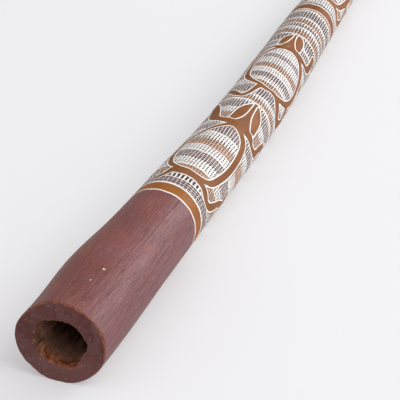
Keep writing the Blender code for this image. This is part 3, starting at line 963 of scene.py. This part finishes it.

    # ---- the hollow: old fibrous brown wood, lighter at its lower lip, with painted shade deeper in
    fib = n.noise(1.0, vec=(360, 30, 360), detail=5.0, rough=0.7)
    fib2 = n.noise(150.0, detail=5.0, rough=0.7)
    hollow = n.mix(n.ramp(fib, 0.38, 0.64), lin(68, 45, 38), lin(158, 112, 88))
    hollow = n.mix(n.ramp(fib2, 0.42, 0.64, 0.0, 0.6), hollow, lin(60, 36, 28))
    hollow = n.mix(n.m('MULTIPLY', n.ramp(along, 6.0, 20.0, 0.0, 0.30), n.ramp(along, 26.0, 50.0, 1.0, 0.0)),
                   hollow, lin(196, 148, 122))
    # painted shade: the hollow goes near black further in from the opening
    hollow = n.mix(n.ramp(along, 30.0, 72.0, 0.0, 0.78), hollow, lin(34, 21, 16))
    low = n.ramp(A("lowlip"), -0.30, -0.80)
    crumbs = n.noise(420.0, detail=4.0, rough=0.7)
    lipglow = n.m('MULTIPLY', n.m('MULTIPLY', n.ramp(n.m('ADD', along, n.m('MULTIPLY', wob, 14.0)), 6.0, 22.0, 1.0, 0.0), low),
                  n.ramp(crumbs, 0.36, 0.60, 0.25, 1.0))
    hollow = n.mix(n.m('MULTIPLY', lipglow, 0.80), hollow, n.mix(n.ramp(fib2, 0.4, 0.60), lin(190, 108, 50), lin(104, 44, 30)))
    is_bore = n.m('MULTIPLY', n.ramp(partn, 2.6, 3.2), 1.0)
    colour = n.mix(is_bore, skinc, hollow)
    n.link(colour, n.bsdf.inputs["Base Color"])

    # ---- gloss: satin maroon, drier white, rougher rim, sawn face and hollow
    whiteness = n.m('MULTIPLY', painted, n.m('MAXIMUM', hatch, outline))
    rough = n.m('ADD', n.ramp(grain, 0.3, 0.7, 0.42, 0.54), n.m('MULTIPLY', whiteness, 0.12))
    rough = n.m('ADD', rough, n.m('MULTIPLY', is_bore, 0.4), clamp=True)
    rough = n.m('ADD', rough, n.m('MULTIPLY', is_rim, 0.12), clamp=True)
    n.link(rough, n.bsdf.inputs["Roughness"])
    n.bsdf.inputs["Specular IOR Level"].default_value = 0.17

    # ---- relief: grain, brush lines standing on the coat, fibres inside
    ln = n.m('MAXIMUM', hatch, n.m('MULTIPLY', outline, n.m('SUBTRACT', 1.0, inside)))
    ln = n.m('MAXIMUM', ln, veinl)
    line_h = n.m('MULTIPLY', n.m('MULTIPLY', ln, painted), n.m('SUBTRACT', 1.0, is_rim))
    b1 = n.bump(line_h, 0.00022, 0.7)
    b2 = n.bump(grain, 0.00024, 0.85, b1)
    b3 = n.bump(grain2, 0.00014, 0.75, b2)
    b4 = n.bump(n.m('MULTIPLY', fib, is_bore), 0.0016, 0.8, b3)
    b5 = n.bump(n.noise(380.0, detail=3.0), 0.00010, 0.5, b4)
    n.link(b5, n.bsdf.inputs["Normal"])
    return n.mat


mesh.materials.append(paint_material())

# =====================================================================
# beeswax ring, pressed on by hand
# =====================================================================
WT = 120
wt = 2 * np.pi * np.arange(WT) / WT
lip_out = BORE_MOUTH_R * math.cos(math.pi / 24) - 0.0005
skirt_in = MOUTH_R + 0.0004


def wax_profile():
    pts = [(lip_out, 0.0003), (0.5 * (lip_out + skirt_in), 0.0003), (skirt_in, 0.0003),
           (skirt_in, -0.0060), (skirt_in, -WAX_SKIRT + 0.0006)]
    pts += [(skirt_in + 0.0005, -WAX_SKIRT - 0.0003), (skirt_in + 0.0011, -WAX_SKIRT + 0.0006),
            (skirt_in + 0.0016, -WAX_SKIRT * 0.82), (skirt_in + 0.0019, -WAX_SKIRT * 0.66),
            (WAX_OUT - 0.0004, -WAX_SKIRT * 0.48), (WAX_OUT - 0.0002, -WAX_SKIRT * 0.30),
            (WAX_OUT, -WAX_SKIRT * 0.14)]
    mid, half = 0.5 * (WAX_OUT + WAX_HOLE), 0.5 * (WAX_OUT - WAX_HOLE)
    for i in range(19):
        an = math.pi * i / 18
        ca, sa = math.cos(an), math.sin(an)
        pts.append((mid + half * math.copysign(abs(ca) ** 0.8, ca), WAX_NOSE * abs(sa) ** 0.85))
    pts += [(WAX_HOLE, -0.0022), (WAX_HOLE, -0.0052), (WAX_HOLE + 0.0001, -0.0085),
            (WAX_HOLE + 0.0004, -0.0120), (WAX_HOLE + 0.0009, -WAX_LIP + 0.0004),
            (WAX_HOLE + 0.0015, -WAX_LIP - 0.0001), (lip_out - 0.0001, -WAX_LIP + 0.0006),
            (lip_out, -0.0100), (lip_out, -0.0050)]
    return pts


cm = centre(L)[0] + SHIFT
tm, um, wm = (x[0] for x in axes(L))
prof = wax_profile()
NP = len(prof)
wax_v = np.zeros((NP, WT, 3))
for i, (r, h) in enumerate(prof):
    free = 1.0 if (r > skirt_in + 0.0002 or h > 0.001) and h > -WAX_SKIRT - 0.001 else 0.0
    if r < WAX_HOLE + 0.0005:
        free = 0.35
    dents = 0.00048 * field(71, h * 1.0, wt, 12, (8.0, 45.0), (2, 7)) \
        + 0.00022 * field(72, h * 1.0, wt, 16, (20.0, 90.0), (6, 15))
    rr = r + dents * free * (1.0 if r > 0.02 else -0.6)
    hh = h + (0.00045 * field(73, 0.0, wt, 10, (0, 0), (2, 6)) * smooth(0.002, 0.008, h)
              + 0.0009 * field(74, 0.0, wt, 12, (0, 0), (2, 9)) * (1 - smooth(-0.0125, -0.0075, h))
              * (1.0 if r > skirt_in + 0.0002 else 0.0)) * one[0]
    lim = 0.0296
    rr = np.minimum(rr, lim)
    hh = np.minimum(hh, WAX_NOSE)
    wax_v[i] = cm + (um[None, :] * np.cos(wt)[:, None] + wm[None, :] * np.sin(wt)[:, None]) * rr[:, None] \
        + tm[None, :] * np.broadcast_to(hh, (WT,))[:, None]
wax_v[..., 2] = np.maximum(wax_v[..., 2], 0.00012)
wi = np.arange(NP * WT).reshape(NP, WT)
wq = np.stack([wi, np.roll(wi, -1, 1), np.roll(np.roll(wi, -1, 1), -1, 0), np.roll(wi, -1, 0)], -1).reshape(-1, 4)
wmesh = bpy.data.meshes.new("wax_ring")
wmesh.from_pydata(wax_v.reshape(-1, 3).tolist(), [], wq.tolist())
vv = wax_v.reshape(-1, 3)
qq = vv[wq] - vv.mean(0)
wv = np.einsum('ij,ij->i', qq[:, 0], np.cross(qq[:, 1], qq[:, 2])).sum() \
    + np.einsum('ij,ij->i', qq[:, 0], np.cross(qq[:, 2], qq[:, 3])).sum()
if wv < 0:
    wmesh.flip_normals()
wmesh.polygons.foreach_set("use_smooth", np.ones(len(wq), bool))
wax = bpy.data.objects.new("wax_ring", wmesh)
scene.collection.objects.link(wax)


def wax_material():
    n = Nodes("beeswax")
    c1 = n.noise(120.0, detail=4.0, rough=0.6)
    c2 = n.noise(28.0, detail=3.0)
    col = n.mix(n.ramp(c1, 0.35, 0.68), lin(82, 50, 26), lin(112, 70, 36))
    col = n.mix(n.ramp(c2, 0.42, 0.66, 0.0, 0.7), col, lin(60, 37, 20))
    d, _ = n.voronoi(420.0)
    spots = n.m('MULTIPLY', n.ramp(d, 0.10, 0.20, 1.0, 0.0), n.ramp(n.noise(70.0), 0.5, 0.62))
    col = n.mix(n.m('MULTIPLY', spots, 0.6), col, lin(38, 24, 15))
    bloom = n.ramp(n.noise(60.0, detail=5.0, rough=0.7), 0.55, 0.72, 0.0, 0.35)
    col = n.mix(bloom, col, lin(150, 112, 70))
    n.link(col, n.bsdf.inputs["Base Color"])
    n.link(n.ramp(c1, 0.3, 0.7, 0.34, 0.52), n.bsdf.inputs["Roughness"])
    n.bsdf.inputs["Subsurface Weight"].default_value = 0.12
    n.bsdf.inputs["Subsurface Radius"].default_value = (0.006, 0.003, 0.0012)
    n.bsdf.inputs["Subsurface Scale"].default_value = 0.6
    b1 = n.bump(n.noise(90.0, detail=4.0), 0.0009, 0.6)
    b2 = n.bump(n.noise(520.0, detail=3.0), 0.00015, 0.5, b1)
    n.link(b2, n.bsdf.inputs["Normal"])
    return n.mat


wmesh.materials.append(wax_material())

# =====================================================================
# riding, floor, light, camera
# =====================================================================
for piece, node, slot in ((trunk, "trunk", "painted_wood"), (wax, "mouthpiece", "beeswax")):
    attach(piece, "root")
    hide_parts(node)

WORLD_LOW, WORLD_HIGH, KEY, SHEEN = 0.46, 0.78, 43.0, 100.0
FLOOR, FLOOR_GLOW = (190, 189, 190), 0.33
fm = bpy.data.meshes.new("floor")
G = 60.0
fm.from_pydata([(-G, -G, 0), (G, -G, 0), (G, G, 0), (-G, G, 0)], [], [(0, 1, 2, 3)])
floor = bpy.data.objects.new("floor", fm)
scene.collection.objects.link(floor)
fmat = bpy.data.materials.new("floor")
fmat.use_nodes = True
fb = fmat.node_tree.nodes["Principled BSDF"]
fb.inputs["Base Color"].default_value = lin(*FLOOR)
fb.inputs["Emission Color"].default_value = (0.99, 0.985, 1.0, 1.0)
fb.inputs["Emission Strength"].default_value = FLOOR_GLOW
fb.inputs["Roughness"].default_value = 0.9
fb.inputs["Specular IOR Level"].default_value = 0.1
fm.materials.append(fmat)

world = bpy.data.worlds.new("studio")
scene.world = world
world.use_nodes = True
wt_ = world.node_tree
bg = wt_.nodes["Background"]
tc = wt_.nodes.new("ShaderNodeTexCoord")
sx = wt_.nodes.new("ShaderNodeSeparateXYZ")
wt_.links.new(tc.outputs["Generated"], sx.inputs[0])
up_ = wt_.nodes.new("ShaderNodeMapRange")
up_.interpolation_type = 'SMOOTHSTEP'
wt_.links.new(sx.outputs[2], up_.inputs["Value"])
up_.inputs["From Min"].default_value = 0.0
up_.inputs["From Max"].default_value = 0.9
up_.inputs["To Min"].default_value = WORLD_LOW
up_.inputs["To Max"].default_value = WORLD_HIGH
side_ = wt_.nodes.new("ShaderNodeMapRange")
wt_.links.new(sx.outputs[0], side_.inputs["Value"])
side_.inputs["From Min"].default_value = -1.0
side_.inputs["From Max"].default_value = 1.0
side_.inputs["To Min"].default_value = 0.76
side_.inputs["To Max"].default_value = 1.24
mul_ = wt_.nodes.new("ShaderNodeMath")
mul_.operation = 'MULTIPLY'
wt_.links.new(up_.outputs["Result"], mul_.inputs[0])
wt_.links.new(side_.outputs["Result"], mul_.inputs[1])
wt_.links.new(mul_.outputs[0], bg.inputs[1])
bg.inputs[0].default_value = (0.985, 0.985, 1.0, 1.0)


def area(name, at, aim, size, power, colour=(1, 1, 1)):
    light = bpy.data.lights.new(name, 'AREA')
    light.shape = 'RECTANGLE'
    light.size, light.size_y = size
    light.energy = power
    light.color = colour
    ob = bpy.data.objects.new(name, light)
    from mathutils import Vector
    ob.location = at
    ob.rotation_euler = (Vector(aim) - Vector(at)).to_track_quat('-Z', 'Y').to_euler()
    scene.collection.objects.link(ob)
    return ob


area("key", (2.2, -1.2, 2.6), (0.0, -0.1, 0.0), (2.2, 2.6), KEY)
area("sheen", (2.3, 3.0, 1.5), (0.1, -0.2, 0.0), (2.6, 2.0), SHEEN, (0.94, 0.97, 1.0))

cam = bpy.data.cameras.new("camera")
cam.sensor_width = 36.0
cam.lens = 161.07
cam.clip_start, cam.clip_end = 0.05, 500.0
camera = bpy.data.objects.new("camera", cam)
camera.location = (0.56981, -1.98408, 0.95841)
camera.rotation_euler = (math.radians(90.0 - 27.787), 0.0, math.radians(18.071))
scene.collection.objects.link(camera)
scene.camera = camera

bpy.context.view_layer.update()
